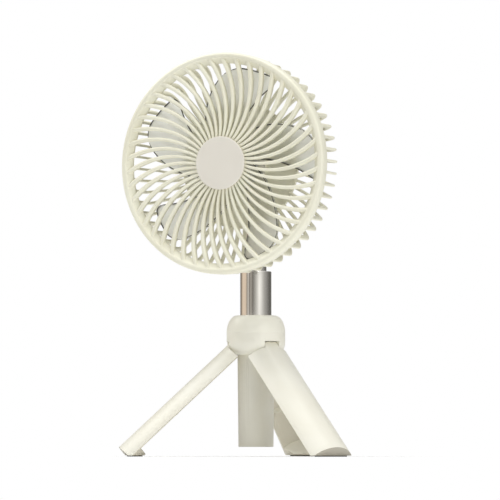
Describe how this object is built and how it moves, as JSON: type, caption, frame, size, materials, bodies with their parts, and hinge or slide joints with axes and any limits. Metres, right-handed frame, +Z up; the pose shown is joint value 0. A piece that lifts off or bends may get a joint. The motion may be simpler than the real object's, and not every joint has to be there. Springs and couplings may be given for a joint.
{
  "type": "tripod fan",
  "caption": "Cordless table fan with a round spiral-ribbed cage, a tilting head on a chrome telescopic pole and a hub with folding shell legs.",
  "frame": {"origin": "on the floor, at the middle of the footprint's bounding box", "axes": "+Z up, the head faces -Y, and X = 0 is the stand's plane of symmetry"},
  "size_m": [0.198, 0.1778, 0.3181],
  "materials": {
    "cream_plastic": "satin",
    "cap_plastic": "satin",
    "blade_plastic": "translucent grey",
    "chrome_tube": "polished",
    "dark_rubber": "matte",
    "dark_plastic": "matte",
    "plain_steel": "zinc plated",
    "magnet_grey": "sintered",
    "copper_wire": "enamelled",
    "board_green": "solder mask",
    "cell_wrap": "shrink wrap"
  },
  "bodies": {
    "base": {"column": "cream_plastic", "column_cap": "cream_plastic", "cell_holder": "dark_plastic", "battery_cell": "cell_wrap", "battery_contacts": "plain_steel", "hub_bowl": "cream_plastic", "hub_dome": "cream_plastic", "hub_screws": "plain_steel", "leg_pins": "plain_steel", "charge_board": "board_green", "charge_socket": "plain_steel", "push_switch": "dark_plastic", "outer_tube": "chrome_tube", "tube_bush": "dark_plastic"},
    "leg_left": {"leg_left": "cream_plastic", "foot_pad_left": "dark_rubber"},
    "leg_right": {"leg_right": "cream_plastic", "foot_pad_right": "dark_rubber"},
    "leg_rear": {"leg_rear": "cream_plastic", "foot_pad_rear": "dark_rubber"},
    "mast": {"mast_tube": "chrome_tube", "mast_stop": "dark_plastic", "neck_fork": "cream_plastic", "tilt_pin": "plain_steel"},
    "head": {"tilt_lug": "cream_plastic", "tilt_washers": "dark_plastic", "lug_screws": "plain_steel", "motor_pod": "cream_plastic", "pod_screws": "plain_steel", "rear_grille": "cream_plastic", "front_grille": "cream_plastic", "front_cap": "cap_plastic", "motor_mount": "cream_plastic", "motor_bearings": "plain_steel", "stator_core": "plain_steel", "stator_windings": "copper_wire", "driver_board": "board_green"},
    "impeller": {"impeller": "blade_plastic", "impeller_nut": "plain_steel", "motor_shaft": "plain_steel", "shaft_clip": "plain_steel", "rotor_can": "plain_steel", "rotor_magnets": "magnet_grey"},
    "power_button": {"power_button": "cap_plastic"}
  },
  "joints": [
    {"name": "leg_left_fold", "type": "hinge", "parent": "base", "child": "leg_left", "pos_m": [-0.01429, -0.02893, 0.086], "axis": [0.5, -0.866, 0], "range_deg": [0, 46.8]},
    {"name": "leg_right_fold", "type": "hinge", "parent": "base", "child": "leg_right", "pos_m": [0.01429, -0.02893, 0.086], "axis": [0.5, 0.866, 0], "range_deg": [0, 46.8]},
    {"name": "leg_rear_fold", "type": "hinge", "parent": "base", "child": "leg_rear", "pos_m": [0, -0.00418, 0.086], "axis": [-1, 0, 0], "range_deg": [0, 46.8]},
    {"name": "mast_slide", "type": "slide", "parent": "base", "child": "mast", "axis": [0, 0, 1], "range_m": [-0.028, 0.007]},
    {"name": "head_tilt", "type": "hinge", "parent": "mast", "child": "head", "pos_m": [0, -0.02068, 0.2306], "axis": [-1, 0, 0], "range_deg": [-8, 80]},
    {"name": "impeller_spin", "type": "hinge", "parent": "head", "child": "impeller", "pos_m": [0, -0.02068, 0.2306], "axis": [0, -1, 0], "continuous": true},
    {"name": "power_button_press", "type": "slide", "parent": "base", "child": "power_button", "axis": [0, -1, 0], "range_m": [0, 0.0008], "stiffness_N_per_m": 1500}
  ]
}
